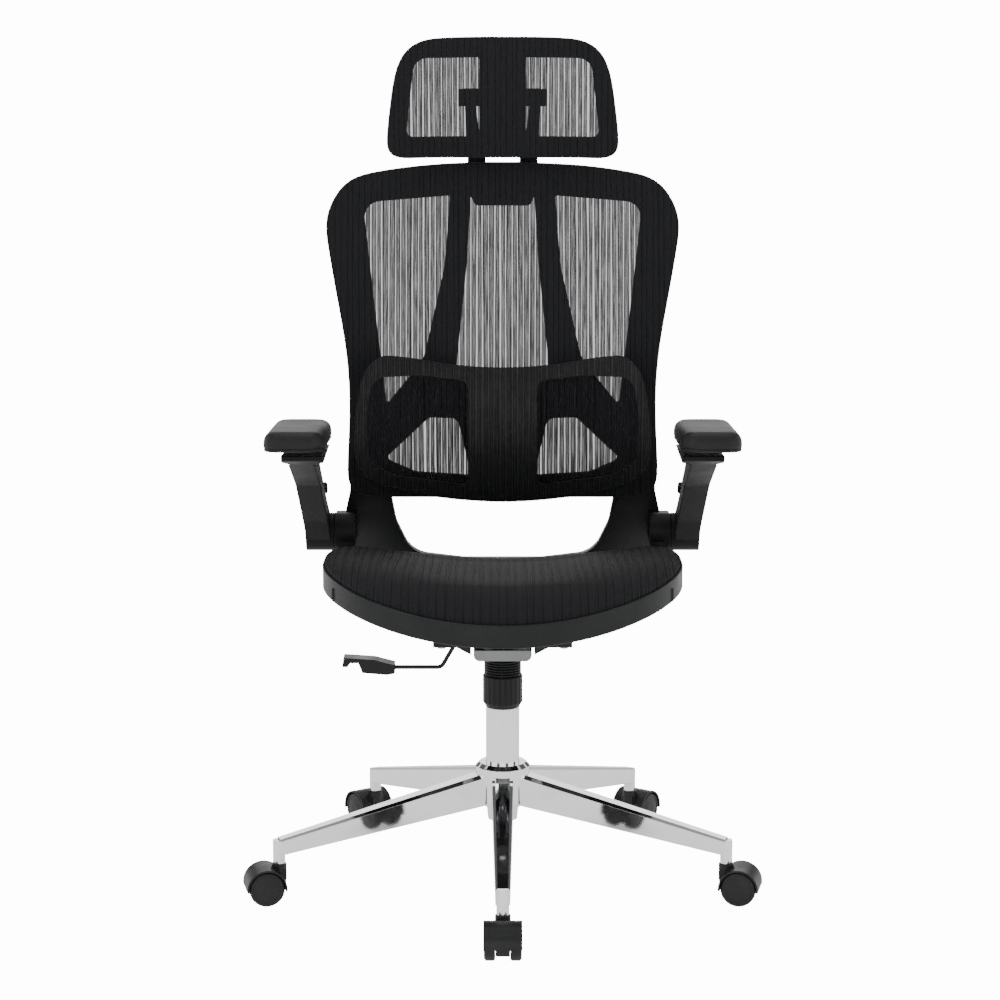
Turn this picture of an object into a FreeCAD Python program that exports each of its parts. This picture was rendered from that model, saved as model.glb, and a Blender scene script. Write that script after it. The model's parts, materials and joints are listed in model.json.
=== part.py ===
import FreeCAD, Part
import math
import os
import Sketcher

# Swivel office chair. Millimetres, +Z up, +X to the right of a viewer in front, -Y towards the front.
# The origin is on the floor, on the axis of the gas column.

Vector = FreeCAD.Vector
UP = Vector(0, 0, 1)
RIGHT = Vector(1, 0, 0)
BACK = Vector(0, 1, 0)

doc = FreeCAD.newDocument("OfficeChair")
sheet = doc.addObject("Spreadsheet::Sheet", "Sizes")
NODES = []

SIZES = {
    # base star
    "hub_radius": 40.5, "hub_bottom": 118, "hub_top": 184, "hub_chamfer": 6,
    "leg_reach": 345, "leg_root": 34, "leg_root_width": 32, "leg_tip_width": 21,
    "leg_root_top": 169, "leg_root_bottom": 121, "leg_tip_top": 96, "leg_tip_bottom": 72,
    "leg_wall": 3.5, "post_radius": 9, "post_bottom": 59, "leg_count": 5,
    # gas column
    "column_radius": 25, "column_foot_radius": 22, "column_top": 300, "column_bottom": 96,
    "column_wall": 3, "gas_radius": 14, "gas_bottom": 190, "gas_top": 386, "gas_taper": 0.6,
    "rod_radius": 4, "rod_top": 250, "valve_radius": 3, "valve_top": 392.5, "running_gap": 0.05,
    # casters
    "wheel_radius": 26, "wheel_width": 16.5, "wheel_inner": 10.5, "caster_trail": 21,
    "hood_gap": 0.9, "hood_wall": 2.6, "hood_cut": 23, "neck_radius": 11, "neck_top": 58,
    "stem_radius": 5.5, "stem_length": 22, "axle_radius": 4,
    # tilt mechanism
    "pivot_back": -35, "pivot_up": 382, "pivot_radius": 5, "bracket_half": 42, "bracket_wall": 3,
    "bracket_bottom": 366, "bracket_front": -122, "bracket_rear": 32, "sleeve_radius": 19,
    "plate_bottom": 393, "plate_thick": 3, "plate_half": 100, "plate_front": -150, "plate_rear": 60,
    "knob_y": -80, "knob_radius": 29, "knob_bottom": 289, "knob_top": 336, "fin_radius": 27,
    "fin_core": 22.5, "fin_pitch": 3.8, "bolt_radius": 5, "ball_radius": 9,
    # height lever
    "lever_radius": 3.2, "lever_up": 377, "lever_low": 328, "lever_bend": 91, "lever_reach": 160,
    "lever_rise": 24.5, "lever_tip": 1,
    # seat
    "seat_half": 263, "seat_centre": -45, "seat_depth_half": 230, "seat_edge": 456,
    "seat_rise": 42, "seat_bulge": 39, "rim_height": 33, "rim_width": 20, "mesh_seat": 3,
    "pan_bottom": 396, "pan_thick": 6,
    # back
    "back_plane": 138, "back_sweep": 67, "back_hollow": 35, "back_top": 1060, "back_half": 262,
    "back_thick": 16, "mesh_back": 1.6, "mesh_gap": 0.3,
    "yoke_thick": 20, "beam_inner": 45, "beam_outer": 75, "beam_bottom": 402.2, "beam_top": 417,
    "slot_half": 12, "slot_bottom": 612, "slot_top": 728,
    # lumbar
    "lumbar_half": 221, "lumbar_thick": 7, "mesh_lumbar": 3,
    # headrest
    "head_top": 1249, "head_bottom": 1072, "head_half": 171, "head_thick": 12, "mesh_head": 2,
    "bar_radius": 13, "bar_half": 58, "bar_y": 182, "bar_up": 1160, "stem_plate": 8,
    "stem_half": 34, "head_pin": 4,
    # arms
    "arm_pivot_y": 115, "arm_pivot_up": 511, "arm_pivot_radius": 28.5, "arm_inner": 254,
    "arm_post_low": 278, "arm_post_high": 288, "arm_post_width": 37, "pad_half": 43,
    "pad_centre": 295, "pad_length": 245, "pad_thick": 29, "pad_front": -190, "pad_slope": 4,
    "latch_half": 22.5, "latch_travel": 4,
}


class Size:
    """A length that knows its number and the sheet expression that gives it."""

    def __init__(self, number, text):
        self.number = float(number)
        self.text = text

    def joined(self, sign, other, number):
        return Size(number, "(%s %s %s)" % (self.text, sign, sized(other).text))

    def __add__(self, other):
        return self.joined("+", other, self.number + float(other))

    def __sub__(self, other):
        return self.joined("-", other, self.number - float(other))

    def __mul__(self, other):
        return self.joined("*", other, self.number * float(other))

    def __truediv__(self, other):
        return self.joined("/", other, self.number / float(other))

    def __radd__(self, other):
        return sized(other) + self

    def __rsub__(self, other):
        return sized(other) - self

    def __rmul__(self, other):
        return sized(other) * self

    def __neg__(self):
        return Size(-self.number, "(-1 * %s)" % self.text)

    def __float__(self):
        return self.number


def sized(value):
    return value if isinstance(value, Size) else Size(value, "(%.6f)" % value)


class Sheet:
    """The driving sizes, read by name."""


def fill_sheet():
    sizes = Sheet()
    for row, (name, value) in enumerate(SIZES.items(), start=1):
        sheet.set("A%d" % row, name)
        sheet.set("B%d" % row, "%g" % value)
        sheet.setAlias("B%d" % row, name)
        setattr(sizes, name, Size(value, "Sizes." + name))
    doc.recompute()
    return sizes


S = fill_sheet()


# ---------------------------------------------------------------- makers

def bind(item, path, value):
    item.setExpression(path, sized(value).text)


def place(item, x=0, y=0, z=0, axis=UP, angle=0):
    spot = Vector(float(x), float(y), float(z))
    item.Placement = FreeCAD.Placement(spot, FreeCAD.Rotation(axis, float(angle)))
    for letter, value in (("x", x), ("y", y), ("z", z)):
        bind(item, "Placement.Base." + letter, value)
    return item


def node(item, label):
    item.Label = label
    NODES.append(item)
    return item


def box(name, x0, x1, y0, y1, z0, z1):
    item = doc.addObject("Part::Box", name)
    for side, low, high in (("Length", x0, x1), ("Width", y0, y1), ("Height", z0, z1)):
        bind(item, side, sized(high) - low)
    return place(item, x0, y0, z0)


def cylinder(name, radius, length, x=0, y=0, z=0, along="Z"):
    item = doc.addObject("Part::Cylinder", name)
    bind(item, "Radius", radius)
    bind(item, "Height", length)
    axis, angle = {"Z": (UP, 0), "X": (BACK, 90), "Y": (RIGHT, -90)}[along]
    return place(item, x, y, z, axis, angle)


def fuse(name, *items):
    item = doc.addObject("Part::MultiFuse", name)
    item.Shapes = list(items)
    return item


def cut(name, base, *tools):
    item = doc.addObject("Part::Cut", name)
    item.Base = base
    item.Tool = tools[0] if len(tools) == 1 else fuse(name + "Tools", *tools)
    return item


def body(name):
    return doc.addObject("PartDesign::Body", name)


def sketch(part, role, offset=0):
    item = part.newObject("Sketcher::SketchObject", part.Name + "Sketch")
    plane = [face for face in part.Origin.OriginFeatures if face.Role == role][0]
    item.AttachmentSupport = [(plane, "")]
    item.MapMode = "FlatFace"
    bind(item, "AttachmentOffset.Base.z", offset)
    return item


def pin_point(outline, edge, end, x, y):
    """Ties one point of a sketch to its distances from the origin."""
    for kind, axis, value in (("DistanceX", -2, x), ("DistanceY", -1, y)):
        value = sized(value)
        if value.number == 0:
            outline.addConstraint(Sketcher.Constraint("PointOnObject", edge, end, axis))
            continue
        index = outline.addConstraint(Sketcher.Constraint(kind, -1, 1, edge, end, value.number))
        label = "%s_%d" % (kind[-1].lower(), index)
        outline.renameConstraint(index, label)
        bind(outline, "Constraints." + label, value)


def polygon(outline, corners):
    first = outline.GeometryCount
    count = len(corners)
    points = [Vector(float(x), float(y), 0) for x, y in corners]
    for index in range(count):
        outline.addGeometry(Part.LineSegment(points[index], points[(index + 1) % count]), False)
    for index in range(count):
        link = (first + index, 2, first + (index + 1) % count, 1)
        outline.addConstraint(Sketcher.Constraint("Coincident", *link))
    for index, (x, y) in enumerate(corners):
        pin_point(outline, first + index, 1, x, y)
    return outline


def ring(outline, radius, x=0, y=0):
    centre = Vector(float(x), float(y), 0)
    edge = outline.addGeometry(Part.Circle(centre, UP, float(radius)), False)
    index = outline.addConstraint(Sketcher.Constraint("Radius", edge, float(radius)))
    label = "r_%d" % index
    outline.renameConstraint(index, label)
    bind(outline, "Constraints." + label, radius)
    pin_point(outline, edge, 3, x, y)
    return outline


def pad(part, outline, length, both=False, backwards=False):
    item = part.newObject("PartDesign::Pad", part.Name + "Pad")
    item.Profile = outline
    bind(item, "Length", length)
    item.SideType = "Symmetric" if both else "One side"
    item.Reversed = backwards
    return item


def pocket(part, outline, length, both=False, backwards=False):
    """Cuts against the sketch's normal, or along it when backwards."""
    doc.recompute()
    before = part.Shape.Volume
    item = part.newObject("PartDesign::Pocket", part.Name + "Pocket")
    item.Profile = outline
    bind(item, "Length", length)
    item.SideType = "Symmetric" if both else "One side"
    item.Reversed = backwards
    doc.recompute()
    if not part.Shape.Volume < before - 1e-3:
        raise ValueError(part.Name + ": a pocket cuts nothing")
    return item


def turned(name, corners):
    """A body turned about Z from corners given as radius and height."""
    part = body(name)
    outline = polygon(sketch(part, "XZ_Plane"), corners)
    item = part.newObject("PartDesign::Revolution", name + "Turn")
    item.Profile = outline
    item.ReferenceAxis = (outline, ["V_Axis"])
    item.Angle = 360
    return part


def plate(name, role, corners, start, length):
    """A flat piece with straight edges, padded from start along the plane's normal."""
    part = body(name)
    pad(part, polygon(sketch(part, role, start), corners), length)
    return part


def feature(name, shape):
    item = doc.addObject("Part::Feature", name)
    item.Shape = shape
    return item


def cleaned(shape):
    return shape.removeSplitter()


# ---------------------------------------------------------------- curves and sheets

def rounded(corners, lift):
    """A closed wire through corners (a, b, radius), lifted into space by lift(a, b)."""
    edges = []
    starts = []
    ends = []
    count = len(corners)
    for index, (a, b, radius) in enumerate(corners):
        here = Vector(a, b, 0)
        into = Vector(*corners[index - 1][:2], 0) - here
        out = Vector(*corners[(index + 1) % count][:2], 0) - here
        room = 0.48 * min(into.Length, out.Length)
        into.normalize()
        out.normalize()
        half = into.getAngle(out) / 2
        reach = min(radius / math.tan(half), room)
        middle = into + out
        middle.normalize()
        bend = reach * math.tan(half)
        apex = here + middle * (bend / math.sin(half) - bend)
        starts.append(here + into * reach)
        ends.append(here + out * reach)
        points = [lift(p.x, p.y) for p in (starts[-1], apex, ends[-1])]
        edges.append(Part.Arc(*points).toShape())
    for index in range(count):
        first = ends[index]
        last = starts[(index + 1) % count]
        if (last - first).Length > 1e-6:
            edges.append(Part.LineSegment(lift(first.x, first.y), lift(last.x, last.y)).toShape())
    return Part.Wire(Part.sortEdges(edges)[0])


def smooth(points, lift):
    """A closed smooth wire through the points."""
    spots = [lift(a, b) for a, b in points]
    steps = [0.0]
    for here, after in zip(spots, spots[1:] + spots[:1]):
        steps.append(steps[-1] + math.sqrt((after - here).Length))
    curve = Part.BSplineCurve()
    curve.interpolate(spots, PeriodicFlag=True, Parameters=steps)
    return Part.Wire([curve.toShape()])


def mirrored(half):
    """A closed outline from its right half, listed from top to bottom, with points on the middle."""
    return half + [(-x, z) for x, z in reversed(half) if x > 0]


def wall_y(a, b):
    """Front-view coordinates into space, well in front of the chair."""
    return Vector(a, -400, b)


def floor_z(a, b):
    return Vector(a, b, 300)


def column_of(wire, direction=BACK, length=900):
    return Part.Face(wire).extrude(direction * length)


def spread(low, high, count):
    return [low + (high - low) * index / (count - 1) for index in range(count)]


def upright_sheet(depth, half, low, high, thick, shift=0.0, columns=13, rows=15):
    """A sheet whose front face is y = depth(x, z) + shift."""
    grid = [
        [Vector(x, depth(x, z) + shift, z) for z in spread(low, high, rows)]
        for x in spread(-half, half, columns)
    ]
    face = Part.BSplineSurface()
    face.interpolate(grid)
    return face.toShape().extrude(BACK * thick)


# ---------------------------------------------------------------- base and column

def leg_section(part, reach, width, top, bottom, bevel):
    outline = sketch(part, "XZ_Plane", reach)
    half = sized(width) / 2
    corners = [(-half, bottom), (half, bottom), (half, top - bevel), (half - bevel, top),
               (bevel - half, top), (-half, top - bevel)]
    return polygon(outline, corners)


def loft(part, kind, first, last):
    item = part.newObject("PartDesign::" + kind, part.Name + kind)
    item.Profile = first
    item.Sections = [last]
    item.Ruled = True
    return item


def make_base_star():
    part = body("BaseStar")
    slope_foot = S.hub_radius - 10
    hub = [(0, S.hub_bottom), (slope_foot, S.hub_bottom), (S.hub_radius - 2, S.hub_bottom + 4),
           (S.hub_radius, S.hub_bottom + 8), (S.hub_radius, S.hub_top - S.hub_chamfer),
           (S.hub_radius - S.hub_chamfer, S.hub_top), (0, S.hub_top)]
    outline = polygon(sketch(part, "XZ_Plane"), hub)
    turn = part.newObject("PartDesign::Revolution", "HubTurn")
    turn.Profile = outline
    turn.ReferenceAxis = (outline, ["V_Axis"])
    turn.Angle = 360
    root = leg_section(part, S.leg_root, S.leg_root_width, S.leg_root_top, S.leg_root_bottom, 5)
    tip = leg_section(part, S.leg_reach, S.leg_tip_width, S.leg_tip_top, S.leg_tip_bottom, 3)
    leg = loft(part, "AdditiveLoft", root, tip)
    thin = S.leg_wall * 2
    inner_root = leg_section(part, S.hub_radius + 4, S.leg_root_width - thin,
                             S.leg_root_top - 14, S.leg_root_bottom - 3, 3)
    inner_tip = leg_section(part, S.leg_reach - 22, S.leg_tip_width - thin,
                            S.leg_tip_top - 8, S.leg_tip_bottom - 3, 2)
    hollow = loft(part, "SubtractiveLoft", inner_root, inner_tip)
    post_height = S.leg_tip_top - 2 - S.post_bottom
    post = pad(part, ring(sketch(part, "XY_Plane", S.post_bottom), S.post_radius, 0, -S.leg_reach),
               post_height)
    doc.recompute()
    stem_hole = ring(sketch(part, "XY_Plane", S.post_bottom), S.stem_radius + S.running_gap,
                     0, -S.leg_reach)
    socket = pocket(part, stem_hole, S.stem_length + 1, backwards=True)
    pattern = part.newObject("PartDesign::PolarPattern", "LegPattern")
    pattern.Originals = [leg, hollow, post, socket]
    pattern.Axis = ([item for item in part.Origin.OriginFeatures if item.Role == "Z_Axis"][0], [""])
    pattern.Angle = 360
    bind(pattern, "Occurrences", S.leg_count)
    part.Tip = pattern
    doc.recompute()
    column_hole = ring(sketch(part, "XY_Plane", S.hub_top), S.column_radius + S.running_gap)
    pocket(part, column_hole, S.hub_top - S.hub_bottom)
    node(part, "base_star")


def make_column():
    outer = S.column_radius
    inner = outer - S.column_wall
    foot = S.column_bottom
    tube = turned("ColumnTube", [
        (8, foot), (S.column_foot_radius, foot), (outer, S.hub_bottom + 10), (outer, S.column_top),
        (inner, S.column_top), (inner, S.hub_bottom + 12), (S.column_foot_radius - 3, foot + 6),
        (8, foot + 6)])
    node(tube, "column_tube")
    bush = turned("ColumnBush", [
        (S.gas_radius + S.running_gap, S.column_top - 40), (inner - 0.02, S.column_top - 40),
        (inner - 0.02, S.column_top), (outer - 1, S.column_top), (outer - 1, S.column_top + 2),
        (S.gas_radius + S.running_gap, S.column_top + 2)])
    node(bush, "column_bush")


def make_gas_spring():
    gap = S.running_gap
    foot = S.column_bottom
    rod = turned("GasRod", [
        (0, foot - 4), (S.rod_radius, foot - 4), (S.rod_radius, foot + 8), (12, foot + 8),
        (12, foot + 13), (S.rod_radius, foot + 13), (S.rod_radius, S.rod_top), (0, S.rod_top)])
    clip = turned("RodClip", [
        (S.rod_radius + 0.02, foot - 3), (11, foot - 3), (11, foot - 0.5),
        (S.rod_radius + 0.02, foot - 0.5)])
    node(rod, "gas_rod")
    node(clip, "rod_clip")
    bore = S.rod_radius + gap
    taper_start = S.gas_top - 46
    seat = S.gas_radius - S.gas_taper
    tube = turned("GasCylinder", [
        (bore, S.gas_bottom), (S.gas_radius, S.gas_bottom), (S.gas_radius, taper_start),
        (seat, S.gas_top), (S.valve_radius + gap, S.gas_top), (S.valve_radius + gap, S.gas_top - 24),
        (0, S.gas_top - 24), (0, S.rod_top + 55), (bore, S.rod_top + 55)])
    node(tube, "gas_cylinder")
    valve = cylinder("ValvePin", S.valve_radius, S.valve_top - (S.gas_top - 16),
                     z=S.gas_top - 16)
    node(valve, "valve_pin")


# ---------------------------------------------------------------- casters

# Each caster: the leg it stands under and the way its wheels trail, in degrees from +X.
CASTERS = {
    "front": (270, 270),
    "front_right": (342, 348),
    "rear_right": (54, 56),
    "rear_left": (126, 124),
    "front_left": (198, 192),
}


def caster_spot(item, leg_angle, trail_angle):
    angle = math.radians(leg_angle)
    across = S.leg_reach * math.cos(angle)
    along = S.leg_reach * math.sin(angle)
    return place(item, across, along, 0, UP, trail_angle)


def make_hood(name):
    trail = S.caster_trail
    axle = S.wheel_radius
    space = S.wheel_radius + S.hood_gap
    shell = space + S.hood_wall
    width = (S.wheel_inner + S.wheel_width) * 2
    half = width / 2
    web = S.wheel_inner - 0.5
    arch = cylinder(name + "Arch", shell, width, trail, -half, axle, "Y")
    arch_tools = [
        box(name + "Below", trail - shell - 1, trail + shell + 1, -half - 1, half + 1,
            axle - shell - 1, S.hood_cut)]
    arch_cut = cut(name + "ArchCut", arch, *arch_tools)
    disc = cylinder(name + "Disc", S.wheel_radius - 2, web * 2, trail, -web, axle, "Y")
    disc_cut = cut(name + "DiscCut", disc, box(
        name + "Notch", trail - shell, trail + shell, -web - 1, web + 1, -5, 11))
    neck = cylinder(name + "Neck", S.neck_radius, S.neck_top - 34, 0, 0, 34)
    block = box(name + "Block", -S.neck_radius * 0.8, trail, -web, web, 30, 50)
    whole = fuse(name + "Whole", arch_cut, disc_cut, neck, block)
    spaces = [
        cylinder(name + "SpaceA", space, S.wheel_width + 2, trail, web, axle, "Y"),
        cylinder(name + "SpaceB", space, S.wheel_width + 2, trail, -web - S.wheel_width - 2, axle, "Y"),
    ]
    bores = [
        cylinder(name + "StemBore", S.stem_radius + 0.02, 40, 0, 0, 36),
        cylinder(name + "AxleBore", S.axle_radius + 0.02, width, trail, -half, axle, "Y"),
    ]
    return cut(name + "Hood", whole, *(spaces + bores))


def make_pins(name):
    stem = cylinder(name + "Stem", S.stem_radius, S.post_bottom + S.stem_length - 38, 0, 0, 38)
    reach = S.wheel_inner + S.wheel_width - 4
    axle = cylinder(name + "Axle", S.axle_radius, reach * 2, S.caster_trail, -reach, S.wheel_radius, "Y")
    return fuse(name + "Pins", stem, axle)


def make_wheel(name, side):
    """A wheel turned about its axle; side is +1 for the wheel on the left of the way it trails."""
    part = body(name)
    inner = S.wheel_inner
    outer = inner + S.wheel_width
    bore = S.axle_radius + S.running_gap
    depth = outer - 3
    corners = [
        (bore, inner), (S.wheel_radius - 2, inner), (S.wheel_radius, inner + 2),
        (S.wheel_radius, outer - 4), (S.wheel_radius - 1.2, outer - 2), (S.wheel_radius - 3.2, outer - 0.6),
        (S.wheel_radius - 5, outer - 0.6), (S.wheel_radius - 6, outer - 1.4), (9, outer), (0, outer),
        (0, depth), (bore, depth)]
    outline = polygon(sketch(part, "XZ_Plane"), corners)
    turn = part.newObject("PartDesign::Revolution", name + "Turn")
    turn.Profile = outline
    turn.ReferenceAxis = (outline, ["V_Axis"])
    turn.Angle = 360
    return part, (-90 if side > 0 else 90)


def make_casters():
    for place_name, (leg_angle, trail_angle) in CASTERS.items():
        name = "Caster" + place_name.title().replace("_", "")
        hood = caster_spot(make_hood(name), leg_angle, trail_angle)
        node(hood, place_name + "_caster_hood")
        pins = caster_spot(make_pins(name), leg_angle, trail_angle)
        node(pins, place_name + "_caster_pins")
        for side, hand in ((1, "a"), (-1, "b")):
            wheel, roll = make_wheel(name + "Wheel" + hand.upper(), side)
            leg = math.radians(leg_angle)
            trail = math.radians(trail_angle)
            x = S.leg_reach * math.cos(leg) + S.caster_trail * math.cos(trail)
            y = S.leg_reach * math.sin(leg) + S.caster_trail * math.sin(trail)
            place(wheel, x, y, S.wheel_radius)
            lay = FreeCAD.Rotation(RIGHT, roll)
            wheel.Placement.Rotation = FreeCAD.Rotation(UP, trail_angle).multiply(lay)
            node(wheel, "%s_caster_wheel_%s" % (place_name, hand))


# ---------------------------------------------------------------- tilt mechanism

def make_bracket():
    half = S.bracket_half
    wall = S.bracket_wall
    low = S.bracket_bottom
    front = S.bracket_front
    rear = S.bracket_rear
    high = S.pivot_up + 8
    side_profile = [(front, low), (rear, low), (rear, low + 10), (S.pivot_back + 12, high),
                    (front + 14, high), (front, high - 8)]
    floor_plate = box("BracketFloor", -half, half, front, rear, low, low + wall)
    left = plate("BracketLeft", "YZ_Plane", side_profile, -half, wall)
    right = plate("BracketRight", "YZ_Plane", side_profile, half - wall, wall)
    front_plate = box("BracketFront", -half, half, front, front + wall, low, high - 8)
    whole = fuse("BracketWhole", floor_plate, left, right, front_plate)
    reach = half * 2 + 4
    tools = [
        cylinder("BracketPinHole", S.pivot_radius + 0.02, reach, -half - 2, S.pivot_back, S.pivot_up, "X"),
        cylinder("BracketSleeveHole", S.sleeve_radius, 40, 0, 0, low - 10),
        cylinder("BracketBoltHole", S.bolt_radius + 2, 30, 0, S.knob_y, low - 10),
        box("BracketLeverSlot", -half - 1, -half + wall + 1, -7, 7, S.lever_up - 7.9, S.lever_up + 20),
    ]
    for side in (-1, 1):
        edge = box("BracketCorner%d" % (side + 1), half - 9, half + 1, front - 1, rear + 1, low - 1, low + 9)
        core = cylinder("BracketCornerCore%d" % (side + 1), 9, sized(rear) - front + 2,
                        half - 9, front - 1, low + 9, "Y")
        corner = cut("BracketCornerCut%d" % (side + 1), edge, core)
        if side < 0:
            corner.Placement = FreeCAD.Placement(Vector(0, 0, 0), FreeCAD.Rotation(UP, 180))
            middle = sized(rear) + front
            bind(corner, "Placement.Base.y", middle)
        tools.append(corner)
    node(cut("SwivelBracket", whole, *tools), "swivel_bracket")


def make_taper_sleeve():
    start = S.gas_top - 42
    seat = S.gas_radius - S.gas_taper
    sleeve = turned("TaperSleeve", [
        (S.gas_radius + 0.02, start), (S.sleeve_radius, start), (S.sleeve_radius, S.gas_top - 3),
        (seat + 0.06, S.gas_top - 3)])
    node(sleeve, "taper_sleeve")


def make_tilt_pin():
    reach = S.bracket_half + 12
    pin = cylinder("TiltPinRod", S.pivot_radius, reach * 2, -reach, S.pivot_back, S.pivot_up, "X")
    heads = [
        cylinder("TiltPinHeadA", S.pivot_radius + 3, 3, reach, S.pivot_back, S.pivot_up, "X"),
        cylinder("TiltPinHeadB", S.pivot_radius + 3, 3, -reach - 3, S.pivot_back, S.pivot_up, "X"),
    ]
    node(fuse("TiltPin", pin, *heads), "tilt_pin")


def make_tension_sleeve():
    """A ribbed sleeve under the bracket; the knob slides up over its rings."""
    top = S.bracket_bottom
    low = S.knob_bottom + 19
    inner = S.fin_core - 3
    part = turned("TensionSleeve", [
        (inner, low), (S.fin_core, low), (S.fin_core, top - 0.1), (inner, top - 0.1)])
    place(part, 0, S.knob_y, 0)
    rings = []
    count = int((float(top) - float(low)) / float(S.fin_pitch))
    for index in range(count):
        level = low + S.fin_pitch * index + 0.6
        disc = cylinder("Fin%d" % index, S.fin_radius, 1.5, 0, S.knob_y, level)
        rings.append(disc)
    hole = cylinder("FinBore", S.fin_core - 0.5, top - low + 4, 0, S.knob_y, low - 2)
    fins = cut("Fins", fuse("FinDiscs", *rings), hole)
    node(fuse("TensionSleeveWhole", part, fins), "tension_sleeve")


def make_tension_rod():
    """The tilt bolt with its ball head above the tray and the spring's washer below."""
    ball_up = S.plate_bottom + S.plate_thick + 6.1
    shaft = cylinder("TensionShaft", S.bolt_radius, ball_up - S.knob_bottom - 2, 0, S.knob_y,
                     S.knob_bottom + 2)
    ball = doc.addObject("Part::Sphere", "TensionBall")
    bind(ball, "Radius", S.ball_radius)
    place(ball, 0, S.knob_y, ball_up)
    washer = cylinder("TensionWasher", 17.5, 3, 0, S.knob_y, S.knob_bottom + 6.2)
    node(fuse("TensionRod", shaft, ball, washer), "tension_rod")


def make_tension_spring():
    low = float(S.knob_bottom) + 9.3
    high = float(S.bracket_bottom) - 0.1
    wire = 1.9
    turns = 6
    radius = 14.5
    pitch = (high - low - 2 * wire - 0.2) / turns
    helix = Part.makeHelix(pitch, pitch * turns, radius)
    start = Part.Wire([Part.Circle(Vector(radius, 0, 0), BACK, wire).toShape()])
    coil = Part.Wire(helix).makePipeShell([start], True, True)
    spring = feature("TensionSpring", coil)
    place(spring, 0, S.knob_y, S.knob_bottom + 9.4 + wire)
    node(spring, "tension_spring")


def make_tension_knob():
    outer = S.knob_radius
    inner = S.fin_radius + 0.4
    part = turned("TensionKnob", [
        (S.bolt_radius + 0.06, S.knob_bottom), (outer - 5, S.knob_bottom), (outer, S.knob_bottom + 8),
        (outer, S.knob_top), (inner, S.knob_top), (inner, S.knob_bottom + 6),
        (S.bolt_radius + 0.06, S.knob_bottom + 6)])
    place(part, 0, S.knob_y, 0)
    doc.recompute()
    groove = pocket(part, ring(sketch(part, "XY_Plane", S.knob_top), 1.5, outer + 0.45, 0),
                    S.knob_top - S.knob_bottom)
    pattern = part.newObject("PartDesign::PolarPattern", "KnobGrooves")
    pattern.Originals = [groove]
    pattern.Axis = ([item for item in part.Origin.OriginFeatures if item.Role == "Z_Axis"][0], [""])
    pattern.Angle = 360
    pattern.Occurrences = 22
    part.Tip = pattern
    node(part, "tension_knob")


def make_tray():
    half = S.plate_half
    top = S.plate_bottom + S.plate_thick
    low = S.plate_bottom
    inner = S.bracket_half + 4
    flange = [(S.plate_front + 35, low + 0.5), (S.pivot_back + 20, low + 0.5),
              (S.pivot_back + 12, S.pivot_up - 12), (S.pivot_back - 12, S.pivot_up - 12)]
    gusset = [(inner, low + 0.5), (half - 6, low + 0.5), (half - 24, low - 6), (inner, low - 22)]
    pieces = [box("TrayPlate", -half, half, S.plate_front, S.plate_rear, low, top)]
    pieces.append(plate("TrayFlangeR", "YZ_Plane", flange, inner, 3))
    pieces.append(plate("TrayFlangeL", "YZ_Plane", flange, -inner - 3, 3))
    pieces.append(plate("TrayGussetR", "XZ_Plane", gusset, 100, 3))
    pieces.append(plate("TrayGussetL", "XZ_Plane", [(-x, z) for x, z in gusset], 100, 3))
    whole = fuse("TrayWhole", *pieces)
    tools = [
        box("TrayWindow", -42, 30, -24, 48, low - 1, top + 1),
        box("TrayBoltSlot", -7, 7, S.knob_y - 14, S.knob_y + 9, low - 5, top + 5),
        cylinder("TrayPinHole", S.pivot_radius + S.running_gap, half * 2, -half, S.pivot_back,
                 S.pivot_up, "X"),
    ]
    for index, (x, y) in enumerate(TRAY_SCREWS):
        tools.append(cylinder("TrayScrewHole%d" % index, 3.2, 20, x, y, low - 5))
    node(cut("TiltTray", whole, *tools), "tilt_tray")


TRAY_SCREWS = [(-88, -135), (88, -135), (-88, 45), (88, 45)]


def make_screws():
    """Four cap screws that hold the tray up under the seat pan."""
    low = S.plate_bottom
    items = []
    for index, (x, y) in enumerate(TRAY_SCREWS):
        head = cylinder("TrayScrewHead%d" % index, 6, 4, x, y, low - 4)
        shank = cylinder("TrayScrewShank%d" % index, 3, 3 + 7, x, y, low - 1)
        socket = cylinder("TrayScrewSocket%d" % index, 2.6, 2.5, x, y, low - 4)
        items.append(cut("TrayScrew%d" % index, fuse("TrayScrewBody%d" % index, head, shank), socket))
    node(fuse("TrayScrews", *items), "tray_screws")


# ---------------------------------------------------------------- height lever

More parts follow.
